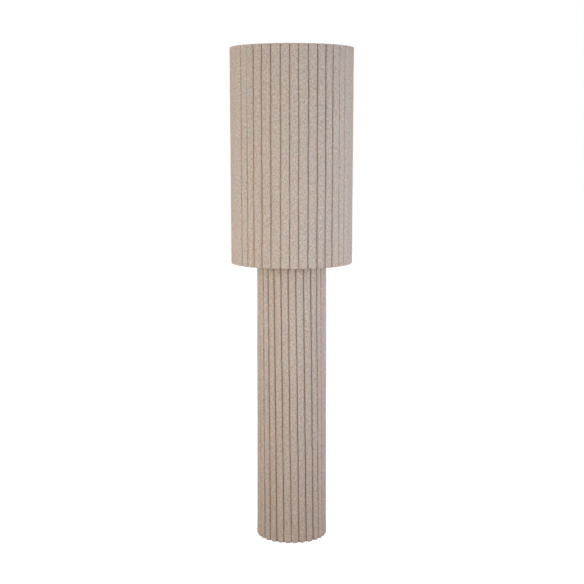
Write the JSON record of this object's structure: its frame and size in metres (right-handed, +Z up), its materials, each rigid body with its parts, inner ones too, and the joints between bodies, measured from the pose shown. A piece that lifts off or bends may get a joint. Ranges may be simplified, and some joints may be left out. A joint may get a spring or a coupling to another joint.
{
  "type": "floor lamp",
  "caption": "Tall floor lamp with a wide pleated fabric drum shade over a narrower pleated fabric column, free-standing on a weighted base.",
  "frame": {"origin": "centre of the lamp's footprint, on the floor", "axes": "+Z up along the lamp's axis; -Y is the side the picture shows, +Y the back with the cable inlet, +X to the picture's right"},
  "size_m": [0.3708, 0.3706, 1.5],
  "materials": {
    "oatmeal_fabric": "matte",
    "hem_fabric": "matte",
    "white_liner": "matte",
    "white_wire": "satin",
    "white_enamel": "satin",
    "base_iron": "matte",
    "black_rubber": "matte",
    "zinc_steel": "satin",
    "brass": "satin",
    "black_phenolic": "satin",
    "white_ceramic": "satin",
    "ivory_nylon": "satin",
    "opal_glass": "satin",
    "nickel_sheet": "satin",
    "yellow_phosphor": "matte"
  },
  "bodies": {
    "stand": {"base_plate": "base_iron", "foot_1": "black_rubber", "foot_2": "black_rubber", "foot_3": "black_rubber", "foot_4": "black_rubber", "pole_bolt": "zinc_steel", "pole_washer": "zinc_steel", "pole": "zinc_steel", "lower_plug": "zinc_steel", "upper_plug": "zinc_steel", "threaded_tube": "brass", "column_lower_ring": "white_wire", "column_upper_ring": "white_wire", "column_strut_1": "white_wire", "column_strut_2": "white_wire", "column_strut_3": "white_wire", "column_strut_4": "white_wire", "column_liner": "white_liner", "column_lower_hem": "hem_fabric", "column_upper_hem": "hem_fabric", "column_cover": "oatmeal_fabric", "column_cap": "white_enamel", "cable_grommet": "black_rubber", "spigot": "white_enamel", "stem_tube": "brass", "holder_dome": "black_phenolic", "holder_skirt": "black_phenolic", "holder_insert": "white_ceramic", "holder_shell": "brass", "holder_contact": "brass"},
    "slip": {"slip_washer": "ivory_nylon"},
    "shade": {"carrier_ring": "white_wire", "carrier_arm_1": "white_wire", "carrier_arm_2": "white_wire", "carrier_arm_3": "white_wire", "shade_lower_ring": "white_wire", "shade_upper_ring": "white_wire", "shade_strut_1": "white_wire", "shade_strut_2": "white_wire", "shade_strut_3": "white_wire", "shade_strut_4": "white_wire", "shade_strut_5": "white_wire", "shade_strut_6": "white_wire", "shade_liner": "white_liner", "shade_lower_hem": "hem_fabric", "shade_upper_hem": "hem_fabric", "shade_cover": "oatmeal_fabric"},
    "bulb": {"bulb_glass": "opal_glass", "bulb_screw": "nickel_sheet", "bulb_insulator": "black_phenolic", "bulb_contact": "nickel_sheet", "bulb_post": "white_ceramic", "bulb_strips": "yellow_phosphor"}
  },
  "joints": [
    {"name": "shade_turn", "type": "hinge", "parent": "stand", "child": "slip", "pos_m": [0, 0, 0.9], "axis": [0, 0, 1], "continuous": true},
    {"name": "shade_lift", "type": "slide", "parent": "slip", "child": "shade", "axis": [0, 0, 1], "range_m": [0, 0.35]},
    {"name": "bulb_out", "type": "slide", "parent": "stand", "child": "bulb", "axis": [0, 0, 1], "range_m": [0, 0.12]}
  ]
}
